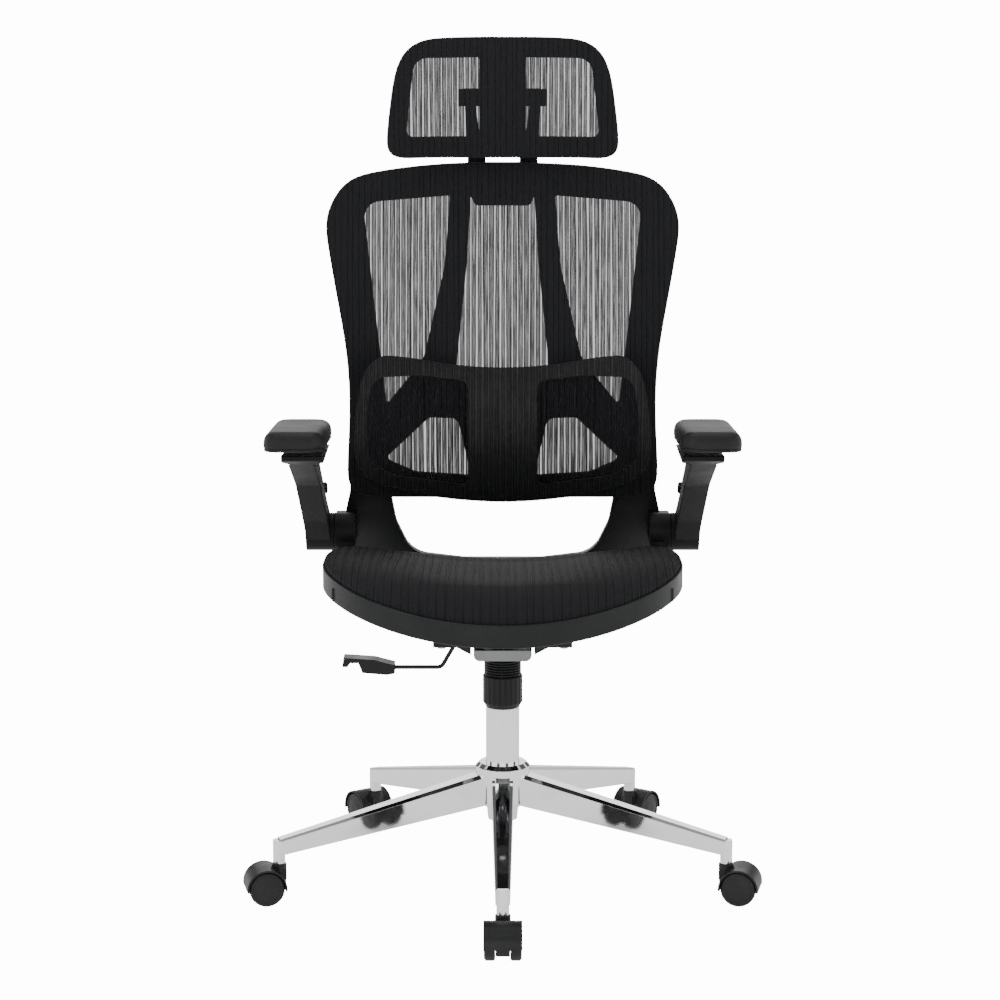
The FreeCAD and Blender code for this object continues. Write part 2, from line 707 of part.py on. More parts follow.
def make_lever():
    half = S.bracket_half
    block = box("LeverBushBlock", -half - 3.5, -half + 15, -5.5, 5.5, S.lever_up - 7.5, S.lever_up + 5.5)
    slot = box("LeverBushSlot", -half - 5, -half + 16, -3.6, 3.6, S.lever_up - 5.4, S.lever_up + 7)
    node(cut("LeverBush", block, slot), "lever_bush")
    up = float(S.lever_up)
    low = float(S.lever_low)
    bend = float(S.lever_bend)
    radius = float(S.lever_radius)
    over = float(S.valve_top) + radius + 0.1
    rise = -float(S.lever_rise)
    points = [(float(S.lever_tip), over), (rise, over), (rise, up), (-56, up), (-68, up - 9), (-bend, low),
              (-float(S.lever_reach) - 30, low)]
    edges = []
    last = Vector(points[0][0], 0, points[0][1])
    for before, here, after in zip(points, points[1:], points[2:]):
        corner = Vector(here[0], 0, here[1])
        into = Vector(before[0], 0, before[1]) - corner
        out = Vector(after[0], 0, after[1]) - corner
        reach = min(6.0, 0.45 * into.Length, 0.45 * out.Length)
        into.normalize()
        out.normalize()
        half_angle = into.getAngle(out) / 2
        bend_radius = reach * math.tan(half_angle)
        middle = into + out
        middle.normalize()
        start = corner + into * reach
        end = corner + out * reach
        apex = corner + middle * (bend_radius / math.sin(half_angle) - bend_radius)
        edges.append(Part.LineSegment(last, start).toShape())
        edges.append(Part.Arc(start, apex, end).toShape())
        last = end
    edges.append(Part.LineSegment(last, Vector(points[-1][0], 0, points[-1][1])).toShape())
    path = Part.Wire(edges)
    section = Part.Wire([Part.Circle(Vector(points[0][0], 0, over), RIGHT, radius).toShape()])
    rod = feature("LeverRod", path.makePipeShell([section], True, False))
    node(rod, "lever_rod")
    reach = S.lever_reach
    level = S.lever_low
    grip = plate("LeverGrip", "XZ_Plane", [
        (-reach, level - 7), (-reach, level + 6), (-reach - 30, level + 14), (-reach - 76, level + 17),
        (-reach - 78, level + 3), (-reach - 70, level + 3), (-reach - 66, level + 9),
        (-reach - 54, level + 9), (-reach - 48, level - 6), (-reach - 12, level - 9)], -14, 28)
    bore = cylinder("LeverGripBore", S.lever_radius + 0.02, 40, -reach - 31, 0, level, "X")
    node(cut("LeverHandle", grip, bore), "lever_handle")


# ---------------------------------------------------------------- seat

def seat_share(x, y):
    """How far a point lies out towards the seat's outline, 0 at the centre and 1 on the outline."""
    across = abs(x) / float(S.seat_half)
    along = abs(y - float(S.seat_centre)) / float(S.seat_depth_half)
    power = 2.02 if y < float(S.seat_centre) else 3.2
    return (across ** power + along ** power) ** (1 / power)


def seat_outline(share):
    points = []
    for step in range(48):
        angle = 2 * math.pi * step / 48
        x, y = math.cos(angle), math.sin(angle)
        power = 2.02 if y < 0 else 3.2
        reach = (abs(x) ** power + abs(y) ** power) ** (-1 / power)
        across = reach * x * (float(S.seat_half) - share)
        along = float(S.seat_centre) + reach * y * (float(S.seat_depth_half) - share)
        points.append((across, along))
    return points


def seat_edge_height(x):
    return float(S.seat_edge) + float(S.seat_rise) * (x / float(S.seat_half)) ** 2


def seat_height(x, y):
    """The top of the seat fabric: hollow from side to side, crowned and falling at the front."""
    front = float(S.seat_centre) - float(S.seat_depth_half)
    slide = min(1.0, max(0.0, (y - front - 85) / 330))
    crown = float(S.seat_bulge) * (1 - slide) + 3 * slide
    share = min(seat_share(x, y), 1.12)
    return seat_edge_height(x) + crown * (1 - share ** 6)


def make_seat():
    half = float(S.seat_half) + 6
    front = float(S.seat_centre - S.seat_depth_half) - 6
    rear = float(S.seat_centre + S.seat_depth_half) + 6
    outer = column_of(smooth(seat_outline(0), floor_z), UP, 400)
    inner = column_of(smooth(seat_outline(float(S.rim_width)), floor_z), UP, 400)
    arc = [Vector(x, front, seat_edge_height(x) - 3.8) for x in (-half, 0, half)]
    top = Part.Arc(*arc).toShape()
    drop = Vector(0, 0, -float(S.rim_height) + 3.8)
    low = top.translated(drop)
    ends = [Part.LineSegment(a, a + drop).toShape() for a in (arc[0], arc[2])]
    band = Part.Face(Part.Wire(Part.sortEdges([top, low] + ends)[0])).extrude(BACK * (rear - front))
    rim = band.common(outer).cut(inner)
    pan = feature("SeatRim", cleaned(rim))
    low = S.pan_bottom
    high = low + S.pan_thick
    half_pan = S.plate_half
    rib = [(half_pan - 8, low), (half_pan - 8, high + 6), (S.seat_half - 18, high + 74),
           (S.seat_half - 18, low + 62)]
    pieces = [pan, box("PanPad", -half_pan, half_pan, S.plate_front, S.plate_rear, low, high)]
    for index, start in enumerate((105, -45)):
        pieces.append(plate("PanRibR%d" % index, "XZ_Plane", rib, start, 30))
        pieces.append(plate("PanRibL%d" % index, "XZ_Plane", [(-x, z) for x, z in rib], start, 30))
    nose = [(S.plate_front + 4, low), (S.plate_front + 4, high + 4),
            (S.seat_centre - S.seat_depth_half + 10, high + 46),
            (S.seat_centre - S.seat_depth_half + 10, low + 34)]
    pieces.append(plate("PanNose", "YZ_Plane", nose, -40, 80))
    tail = [(S.plate_rear - 4, low), (S.plate_rear - 4, high),
            (S.seat_centre + S.seat_depth_half - 10, high + 38),
            (S.seat_centre + S.seat_depth_half - 10, low + 28)]
    pieces.append(plate("PanTail", "YZ_Plane", tail, -18, 36))
    whole = fuse("SeatPan", *pieces)
    tools = [box("PanWindow", -46, 34, S.plate_front + 20, S.plate_rear - 12, low - 1, high + 8)]
    for index, (x, y) in enumerate(TRAY_SCREWS):
        tools.append(cylinder("PanScrewHole%d" % index, 3.05, 20, x, y, low - 5))
    node(cut("SeatFrame", whole, *tools), "seat_frame")
    rows = [
        [Vector(x, y, seat_height(x, y)) for y in spread(front, rear, 23)]
        for x in spread(-half, half, 21)
    ]
    face = Part.BSplineSurface()
    face.interpolate(rows)
    cloth = face.toShape().extrude(UP * -float(S.mesh_seat)).common(outer)
    node(feature("SeatMesh", cloth), "seat_mesh")


# ---------------------------------------------------------------- back

def back_depth(x, z):
    """Front face of the back frame: hollow across, leaning back above and swept back below."""
    if z > 700:
        sweep = ((z - 700) / 366) ** 2
    elif z < 660:
        sweep = ((660 - z) / 190) ** 2
    else:
        sweep = 0
    bow = float(S.back_hollow) * (x / 261) ** 2
    return float(S.back_plane) + float(S.back_sweep) * sweep - bow


def back_outline():
    top = float(S.back_top)
    half = float(S.back_half)
    return mirrored([
        (0, top), (120, top - 4), (187, top - 12), (224, top - 22), (247, top - 42), (half, top - 78),
        (half - 3, top - 125), (half - 16, top - 198), (half - 28, top - 270), (half - 33, top - 342),
        (half - 31, top - 410), (half - 29, top - 450), (half - 34, top - 482), (half - 62, top - 497),
        (120, top - 502), (0, top - 505)])


def back_window_corners():
    """The upper side window, the middle window and the lower side window, on the right-hand side."""
    top = float(S.back_top)
    side = [(79, top - 47, 3), (210, top - 56, 24), (175, top - 358, 3), (119, top - 290, 60),
            (87, top - 150, 200)]
    middle = [(-48, top - 46, 1), (-42, top - 62, 9), (42, top - 62, 9), (48, top - 46, 1),
              (54, top - 148, 200), (72, top - 322, 8), (-72, top - 322, 8), (-54, top - 148, 200)]
    lower = [(179, top - 440, 8), (111, top - 377, 12), (68, top - 379, 14), (47, top - 470, 5),
             (132, top - 463, 30)]
    return side, middle, lower


def flipped(corners):
    return [(-x, z, r) for x, z, r in corners]


def make_back():
    top = float(S.back_top)
    outer = column_of(smooth(back_outline(), wall_y))
    half = float(S.back_half) + 8
    slab = upright_sheet(back_depth, half, top - 516, top + 8, float(S.back_thick))
    side, middle, lower = back_window_corners()
    frame = slab.common(outer)
    for corners in (side, flipped(side), middle, lower, flipped(lower)):
        frame = frame.cut(column_of(rounded(corners, wall_y)))
    reach = float(S.slot_half) + 0.3
    slot = Part.makeBox(2 * reach, 200, float(S.slot_top - S.slot_bottom),
                        Vector(-reach, 60, float(S.slot_bottom)))
    frame = feature("BackFrame", cleaned(frame.cut(slot)))
    node(frame, "back_frame")
    cloth = upright_sheet(back_depth, half, top - 516, top + 8, float(S.mesh_back),
                          -float(S.mesh_back + S.mesh_gap))
    wide = reach + 4
    opening = Part.makeBox(2 * wide, 200, float(S.slot_top - S.slot_bottom) + 8,
                           Vector(-wide, 60, float(S.slot_bottom) - 4))
    node(feature("BackMesh", cloth.common(outer).cut(opening)), "back_mesh")


def yoke_line():
    """The front face of the yoke seen from the side, from its upper end to its foot."""
    shift = float(S.back_plane) - 138
    return [Vector(0, y + shift, z) for y, z in (
        (143, 645), (142.6, 605), (152, 568), (167, 538), (181, 505), (193, 470), (199, 435), (197, 402.2))]


YOKE_BOSSES = [(203, 624), (199, 589)]


def make_yoke():
    curve = Part.BSplineCurve()
    curve.interpolate(yoke_line())
    front = curve.toShape()
    thick = BACK * float(S.yoke_thick)
    rear = front.translated(thick)
    caps = [Part.LineSegment(end, end + thick).toShape() for end in (yoke_line()[0], yoke_line()[-1])]
    profile = Part.Face(Part.Wire(Part.sortEdges([front, rear] + caps)[0]))
    band = profile.translated(Vector(-250, 0, 0)).extrude(RIGHT * 500)
    outer = rounded([
        (232, 640, 10), (232, 568, 40), (243, 520, 60), (236, 470, 60), (180, 412, 50), (90, 402.2, 5),
        (-90, 402.2, 5), (-180, 412, 50), (-236, 470, 60), (-243, 520, 60), (-232, 568, 40),
        (-232, 640, 10)], wall_y)
    inner = rounded([
        (190, 660, 3), (171, 566, 30), (163, 515, 60), (140, 462, 44), (60, 452, 30), (-60, 452, 30),
        (-140, 462, 44), (-163, 515, 60), (-171, 566, 30), (-190, 660, 3)], wall_y)
    wings = band.common(column_of(outer)).cut(column_of(inner))
    ahead = upright_sheet(back_depth, 262, 530, 700, float(S.back_thick) + 60.25, -60)
    bosses = []
    for x, z in YOKE_BOSSES:
        for across in (x, -x):
            bosses.append(Part.makeCylinder(11, 60, Vector(across, 90, z), BACK))
    shape = wings.fuse(bosses).cut(ahead)
    pieces = [feature("YokeWings", cleaned(shape))]
    for side, name in ((1, "R"), (-1, "L")):
        x0, x1 = (S.beam_inner, S.beam_outer) if side > 0 else (-S.beam_outer, -S.beam_inner)
        pieces.append(box("YokeBeam" + name, x0, x1, 20, 212, S.beam_bottom, S.beam_top))
    node(fuse("BackYoke", *pieces), "back_yoke")


def make_headrest_mount():
    """The guide behind the top bar that the headrest's stem slides in."""
    y = STEM_Y
    wide = S.stem_half + 0.3
    shell = box("GuideShell", -S.stem_half - 8, S.stem_half + 8, y - 6, y + S.stem_plate + 6, 1000, 1052)
    slot = box("GuideSlot", -wide, wide, y - 0.3, y + S.stem_plate + 0.3, 995, 1060)
    guide = cut("StemGuide", shell, slot)
    keep = cut("StemGuideTrim", guide, feature("BackTrim", back_envelope()))
    node(keep, "headrest_guide")


STEM_Y = 226


def back_envelope():
    """Space taken by the back frame's slab, a little thicker at the rear."""
    top = float(S.back_top)
    return upright_sheet(back_depth, 90, 960, top + 8, float(S.back_thick) + 0.05)


# ---------------------------------------------------------------- lumbar support

def lumbar_depth(x, z):
    return 100 + 25 * ((z - 690) / 110) ** 2 - 45 * (x / 218) ** 2


def lumbar_outline():
    half = float(S.lumbar_half)
    return mirrored([
        (0, 761), (40, 762.5), (80, 767), (124, 775), (163, 781), (183, 780), (202, 763), (half - 8, 728),
        (half, 660), (half - 2, 634), (half - 9, 611), (half - 25, 595), (half - 48, 584),
        (120, 567), (60, 556), (0, 552)])


def make_lumbar():
    outer = column_of(smooth(lumbar_outline(), wall_y))
    reach = float(S.lumbar_half) + 8
    shell = upright_sheet(lumbar_depth, reach, 540, 795, float(S.lumbar_thick)).common(outer)
    window = [(192, 752, 22), (203, 700, 200), (199, 626, 20), (163, 601, 40), (52, 580, 10),
              (52, 742, 14), (120, 752, 100)]
    for corners in (window, flipped(window)):
        shell = shell.cut(column_of(rounded(corners, wall_y)))
    node(feature("LumbarFrame", cleaned(shell)), "lumbar_frame")
    gap = float(S.mesh_lumbar) + 0.3
    cloth = upright_sheet(lumbar_depth, reach, 540, 795, float(S.mesh_lumbar), -gap)
    node(feature("LumbarMesh", cloth.common(outer)), "lumbar_mesh")
    web = box("LumbarWeb", -S.slot_half, S.slot_half, 100, 161, 645, 695)
    front = box("LumbarFlange", -30, 30, 100, 128, 640, 700)
    rear = box("LumbarRear", -22, 22, S.back_plane + S.back_thick + 5, S.back_plane + S.back_thick + 10,
               640, 700)
    whole = fuse("LumbarCarriage", web, front, rear)
    behind = upright_sheet(lumbar_depth, 60, 600, 740, 90, float(S.lumbar_thick) + 0.02)
    bracket = doc.addObject("Part::Common", "LumbarBracket")
    bracket.Base = whole
    bracket.Tool = feature("LumbarSpace", behind)
    node(bracket, "lumbar_bracket")


# ---------------------------------------------------------------- headrest

def head_depth(x, z):
    return 150 + 12 * ((z - 1165) / 87) ** 2 - 28 * (x / 168) ** 2


def head_outline():
    top = float(S.head_top)
    low = float(S.head_bottom)
    half = float(S.head_half)
    return mirrored([
        (0, top), (45, top), (88, top - 1), (114, top - 4), (133, top - 12), (147, top - 26),
        (half - 13, top - 52), (half - 5, top - 100), (half, low + 26), (half - 3, low + 11),
        (half - 14, low + 2), (120, low), (60, low), (0, low)])


def make_headrest():
    top = float(S.head_top)
    low = float(S.head_bottom)
    outer = column_of(smooth(head_outline(), wall_y))
    reach = float(S.head_half) + 8
    thick = float(S.head_thick)
    shell = upright_sheet(head_depth, reach, low - 8, top + 8, thick).common(outer)
    window = [(34.5, top - 29, 3), (131, top - 30, 22), (144, low + 31, 10), (34.5, low + 31, 3)]
    for corners in (window, flipped(window)):
        shell = shell.cut(column_of(rounded(corners, wall_y)))
    frame = feature("HeadShell", cleaned(shell))
    bar = float(S.bar_half)
    crossbar = box("HeadCrossbar", -bar - 8, bar + 8, 152, 162, S.bar_up - 12, S.bar_up + 12)
    lugs = []
    for side, name in ((1, "R"), (-1, "L")):
        x0, x1 = (bar + 0.4, bar + 8) if side > 0 else (-bar - 8, -bar - 0.4)
        lugs.append(box("HeadLug" + name, x0, x1, 152, S.bar_y + 9, S.bar_up - 12, S.bar_up + 12))
    trim = feature("HeadTrim", upright_sheet(head_depth, 90, 1120, 1200, 40, -40.0))
    rear = cut("HeadRear", fuse("HeadRearWhole", crossbar, *lugs), trim)
    hole = cylinder("HeadPinHole", S.head_pin + 0.02, 2 * bar + 40, -bar - 20, S.bar_y, S.bar_up, "X")
    node(cut("HeadFrame", fuse("HeadWhole", frame, rear), hole), "headrest_frame")
    cloth = upright_sheet(head_depth, reach, low - 8, top + 8, float(S.mesh_head),
                          -float(S.mesh_head) - 0.3)
    node(feature("HeadMesh", cloth.common(outer)), "headrest_mesh")
    pin = cylinder("HeadPin", S.head_pin, S.bar_half * 2 + 16, -bar - 8, S.bar_y, S.bar_up, "X")
    node(pin, "headrest_pin")


def make_headrest_bracket():
    bar = cylinder("StemBar", S.bar_radius, S.bar_half * 2, -S.bar_half, S.bar_y, S.bar_up, "X")
    bore = cylinder("StemBarBore", S.head_pin + S.running_gap, S.bar_half * 2 + 2, -S.bar_half - 1,
                    S.bar_y, S.bar_up, "X")
    side_view = [Vector(0, y, z) for y, z in (
        (STEM_Y, 1053), (float(S.bar_y) - 4, 1155), (float(S.bar_y) + 4, 1160), (STEM_Y + 8, 1061),
        (STEM_Y + 8, 1053))]
    slope = Part.Face(Part.makePolygon(side_view + side_view[:1]))
    slope = slope.translated(Vector(-70, 0, 0)).extrude(RIGHT * 140)
    arms = []
    for side in (1, -1):
        front_view = [wall_y(side * x, z) for x, z in (
            (57, 1160), (42, 1160), (37, 1118), (26, 1066), (26, 1050), (53, 1050), (53, 1066))]
        arms.append(slope.common(column_of(Part.makePolygon(front_view + front_view[:1]))))
    posts = feature("StemPosts", cleaned(arms[0].fuse(arms[1])))
    blade = box("StemBlade", -S.stem_half, S.stem_half, STEM_Y, S.stem_plate + STEM_Y, 1001, 1060)
    foot = box("StemFoot", -53, 53, STEM_Y, S.stem_plate + STEM_Y, 1053, 1060)
    node(cut("HeadBracket", fuse("HeadBracketWhole", bar, posts, blade, foot), bore), "headrest_bracket")


# ---------------------------------------------------------------- arms

def arm_direction():
    """Unit vectors up the arm's post and out of its back face, as (y, z)."""
    rise = math.radians(41.3)
    return (-math.cos(rise), math.sin(rise)), (math.sin(rise), math.cos(rise))


def arm_point(along, out):
    """A point of the arm given along its post from the pivot and out of its back face."""
    up, back = arm_direction()
    y = float(S.arm_pivot_y) + up[0] * along + back[0] * out
    z = float(S.arm_pivot_up) + up[1] * along + back[1] * out
    return y, z


def arm_side_profile():
    corners = [arm_point(0, 26), arm_point(0, -26), arm_point(60, -18), arm_point(165, -17)]
    corners += [(-118, 655), (-150, 664), (-150, 671.3), (30, 658.7), (28, 652), (-8, 648)]
    corners += [arm_point(160, 17), arm_point(60, 18)]
    radii = [6, 6, 60, 40, 10, 3, 1, 1, 4, 20, 30, 60]
    return [(y, z, r) for (y, z), r in zip(corners, radii)]


def make_arm(side, name):
    width = float(S.arm_post_width) / 2
    low = float(S.arm_post_low)
    high = float(S.arm_post_high)

    def side_view(a, b):
        return Vector(-400, a, b)

    profile = column_of(rounded(arm_side_profile(), side_view), RIGHT, 800)
    pivot = Part.makeCylinder(float(S.arm_pivot_radius), 800, Vector(
        -400, float(S.arm_pivot_y), float(S.arm_pivot_up)), RIGHT)
    front_view = [(low - width, 470), (low - width, 520), (high - width, 650), (high - width + 1, 653),
                  (high - width - 14, 658), (high - width - 14, 690), (high + width + 8, 690),
                  (high + width + 8, 658), (high + width - 1, 653), (high + width, 650),
                  (low + width, 520), (low + width, 470)]
    wire = Part.makePolygon([wall_y(side * x, z) for x, z in front_view + front_view[:1]])
    post = profile.fuse(pivot).common(column_of(wire))
    hub = Part.makeCylinder(float(S.arm_pivot_radius), low - width - float(S.arm_inner) + 1, Vector(
        side * float(S.arm_inner), float(S.arm_pivot_y), float(S.arm_pivot_up)), RIGHT * side)
    pin_hole = Part.makeCylinder(8 + float(S.running_gap), 80, Vector(
        side * (float(S.arm_inner) - 1), float(S.arm_pivot_y), float(S.arm_pivot_up)), RIGHT * side)
    stem_y, stem_z = arm_point(LATCH_ALONG, 8)
    _, back = arm_direction()
    stem_hole = Part.makeCylinder(5 + float(S.running_gap), 30, Vector(
        side * (low + 6), stem_y, stem_z), Vector(0, *back))
    whole = cleaned(post.fuse(hub)).cut(pin_hole).cut(stem_hole)
    node(feature("ArmPost" + name, whole), "%s_arm_post" % name)
    make_latch(side, name)
    make_pad(side, name)
    make_arm_bracket(side, name)


LATCH_ALONG = 82


def make_latch(side, name):
    """The sprung release button behind the post, with its stem in the post's bore."""
    _, back = arm_direction()
    face = 17.6 + float(S.latch_travel) + 0.6
    angle = math.degrees(math.atan2(back[1], back[0])) - 90
    centre_y, centre_z = arm_point(LATCH_ALONG, face)
    centre = float(S.arm_post_low) + 6
    block = Part.makeBox(2 * float(S.latch_half), 20, 11, Vector(-float(S.latch_half), -10, 0))
    block = block.makeFillet(3, block.Edges)
    stem = Part.makeCylinder(5, face - 8 - float(S.latch_travel) - 0.5 + 3, Vector(0, 0, 3), Vector(0, 0, -1))
    button = cleaned(block.fuse(stem))
    latch = feature("ArmLatch" + name, button)
    place(latch, side * centre, centre_y, centre_z, RIGHT, angle)
    node(latch, "%s_arm_latch" % name)


def make_pad(side, name):
    """A soft arm pad with round ends, sloping up a little towards the front."""
    part = body("ArmPad" + name)
    half = S.pad_half
    length = S.pad_length
    outline = polygon(sketch(part, "XY_Plane"), [
        (-half, 0), (half, 0), (half, length), (-half, length)])
    block = pad(part, outline, S.pad_thick)
    doc.recompute()
    upright = [edge_name(part, edge) for edge in part.Shape.Edges
               if abs(edge.Vertexes[0].Z - edge.Vertexes[1].Z) > 1]
    corners = part.newObject("PartDesign::Fillet", part.Name + "Corners")
    corners.Base = (block, upright)
    corners.Radius = 24
    doc.recompute()
    rims = [edge_name(part, edge) for edge in part.Shape.Edges
            if abs(edge.BoundBox.ZMax - edge.BoundBox.ZMin) < 0.1]
    edges = part.newObject("PartDesign::Fillet", part.Name + "Edges")
    edges.Base = (corners, rims)
    edges.Radius = 11
    doc.recompute()
    place(part, side * S.pad_centre, S.pad_front, 682.3, RIGHT, -float(S.pad_slope))
    node(part, "%s_arm_pad" % name)


def edge_name(part, wanted):
    for index, edge in enumerate(part.Shape.Edges, start=1):
        if edge.isSame(wanted):
            return "Edge%d" % index
    raise ValueError("edge not found")


def make_arm_bracket(side, name):
    """The fixed half of the arm's hinge: a boss on the yoke with the hinge pin in it."""
    y = float(S.arm_pivot_y)
    z = float(S.arm_pivot_up)
    inner = float(S.arm_inner) - 0.4
    width = 30
    boss_foot = Vector(side * (inner - width), y, z)
    boss = Part.makeCylinder(float(S.arm_pivot_radius), width, boss_foot, RIGHT * side)
    neck = Part.makeBox(width, 90, 44, Vector(min(side * inner, side * (inner - width)), y, z - 22))
    pin = Part.makeCylinder(8, 34, Vector(side * (inner - 1), y, z), RIGHT * side)
    shape = boss.fuse(neck).fuse(pin)
    curve = Part.BSplineCurve()
    curve.interpolate(yoke_line())
    front = curve.toShape()
    far = front.translated(BACK * 90)
    caps = [Part.LineSegment(end, end + BACK * 90).toShape() for end in (yoke_line()[0], yoke_line()[-1])]
    behind = Part.Face(Part.Wire(Part.sortEdges([front, far] + caps)[0]))
    behind = behind.translated(Vector(-400, -0.02, 0)).extrude(RIGHT * 800)
    room = column_of(smooth(seat_outline(-1.5), floor_z), UP, z - 300 - 11)
    shape = shape.cut(behind).cut(room)
    node(feature("ArmBracket" + name, cleaned(shape)), "%s_arm_bracket" % name)


# ---------------------------------------------------------------- build, check, write

def check(item):
    states = set(item.State)
    if states & {"Invalid", "Error"}:
        raise ValueError("%s is %s" % (item.Label, sorted(states)))


def write_parts():
    doc.recompute()
    for item in doc.Objects:
        check(item)
    os.makedirs("parts", exist_ok=True)
    for item in NODES:
        shape = item.Shape
        if shape.isNull() or not shape.isValid() or not shape.Solids:
            raise ValueError(item.Label + " has no valid solid")
        shape.exportStep("parts/%s.step" % item.Label)
    print(len(NODES), "parts written")


make_base_star()
make_column()
make_gas_spring()
make_casters()
make_bracket()
make_taper_sleeve()
make_tilt_pin()
make_tension_sleeve()
make_tension_rod()
make_tension_spring()
make_tension_knob()
make_tray()
make_screws()
make_lever()
make_seat()
make_back()
make_yoke()
make_headrest_mount()
make_lumbar()
make_headrest()
make_headrest_bracket()
for arm_side, arm_name in ((1, "right"), (-1, "left")):
    make_arm(arm_side, arm_name)
write_parts()
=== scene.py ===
import json
import math

import bpy
import numpy as np
from mathutils import Euler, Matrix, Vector


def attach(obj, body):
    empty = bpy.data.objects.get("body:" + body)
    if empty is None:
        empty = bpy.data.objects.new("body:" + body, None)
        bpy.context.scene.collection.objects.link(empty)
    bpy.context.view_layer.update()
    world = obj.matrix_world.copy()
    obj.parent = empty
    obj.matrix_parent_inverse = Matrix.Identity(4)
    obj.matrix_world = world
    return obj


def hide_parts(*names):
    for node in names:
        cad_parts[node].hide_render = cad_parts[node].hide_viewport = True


# Swivel office chair, in metres, in the frame of the CAD model: +Z up, +X to the viewer's right, -Y in front.

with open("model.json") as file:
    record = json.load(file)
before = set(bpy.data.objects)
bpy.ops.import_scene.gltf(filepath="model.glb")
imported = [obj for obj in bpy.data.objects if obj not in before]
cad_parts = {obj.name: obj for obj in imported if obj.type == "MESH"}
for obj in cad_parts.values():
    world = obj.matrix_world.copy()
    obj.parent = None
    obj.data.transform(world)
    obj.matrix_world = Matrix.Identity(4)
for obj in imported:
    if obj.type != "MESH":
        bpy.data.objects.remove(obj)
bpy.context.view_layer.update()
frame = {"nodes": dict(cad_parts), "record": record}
NODES = frame["nodes"]


# ---------------------------------------------------------------- shader building

class Net:
    """Short names for building a node tree."""

    def __init__(self, tree):
        self.tree = tree

    def feed(self, socket, value):
        if isinstance(value, bpy.types.NodeSocket):
            self.tree.links.new(value, socket)
        else:
            socket.default_value = value

    def add(self, kind, inputs=None, **settings):
        item = self.tree.nodes.new(kind)
        for name, value in settings.items():
            setattr(item, name, value)
        for name, value in (inputs or {}).items():
            self.feed(item.inputs[name], value)
        return item

    def math(self, operation, a, b=0.0, c=0.0, clamp=False):
        item = self.add("ShaderNodeMath", operation=operation, use_clamp=clamp)
        for socket, value in zip(item.inputs, (a, b, c)):
            self.feed(socket, value)
        return item.outputs[0]

    def ramp(self, value, low, high, to_low=0.0, to_high=1.0):
        item = self.add("ShaderNodeMapRange", interpolation_type="SMOOTHSTEP")
        for socket, given in zip(item.inputs, (value, low, high, to_low, to_high)):
            self.feed(socket, given)
        return item.outputs[0]

    def noise(self, vector, scale, detail=2.0, roughness=0.5):
        item = self.add("ShaderNodeTexNoise", {"Vector": vector, "Scale": scale, "Detail": detail,
                                               "Roughness": roughness})
        return item.outputs[0]

    def place(self):
        return self.add("ShaderNodeTexCoord").outputs["Object"]


FLOAT = "NodeSocketFloat"


def group(name, inputs, outputs):
    """A shader node group: gives its net, what its inputs carry and the sockets that it puts out."""
    tree = bpy.data.node_groups.new(name, "ShaderNodeTree")
    for label, kind, value in inputs:
        socket = tree.interface.new_socket(label, in_out="INPUT", socket_type=kind)
        socket.default_value = value
    for label, kind in outputs:
        tree.interface.new_socket(label, in_out="OUTPUT", socket_type=kind)
    net = Net(tree)
    start = net.add("NodeGroupInput")
    end = net.add("NodeGroupOutput")
    return net, start.outputs, end.inputs


def grain_group():
    """Moulded grain: a soft tone, faint rub marks, and a pitted normal that rounds the edges."""
    net, given, out = group(
        "Grain",
        [("Scale", FLOAT, 1.0), ("Depth", FLOAT, 0.2), ("Edge", FLOAT, 0.001)],
        [("Tone", FLOAT), ("Rub", FLOAT), ("Normal", "NodeSocketVector")])
    place = net.place()
    fine = net.noise(place, net.math("MULTIPLY", given["Scale"], 1400.0), 3.0, 0.6)
    wide = net.noise(place, net.math("MULTIPLY", given["Scale"], 22.0), 4.0, 0.55)
    edge = net.add("ShaderNodeBevel", {"Radius": given["Edge"]}, samples=4)
    bump = net.add("ShaderNodeBump", {"Strength": given["Depth"], "Distance": 0.0004, "Height": fine,
                                      "Normal": edge.outputs[0]})
    net.feed(out["Tone"], net.ramp(wide, 0.3, 0.7, 0.85, 1.15))
    net.feed(out["Rub"], net.ramp(wide, 0.45, 0.75))
    net.feed(out["Normal"], bump.outputs[0])
    return net.tree


YARN_PITCH = 0.0016


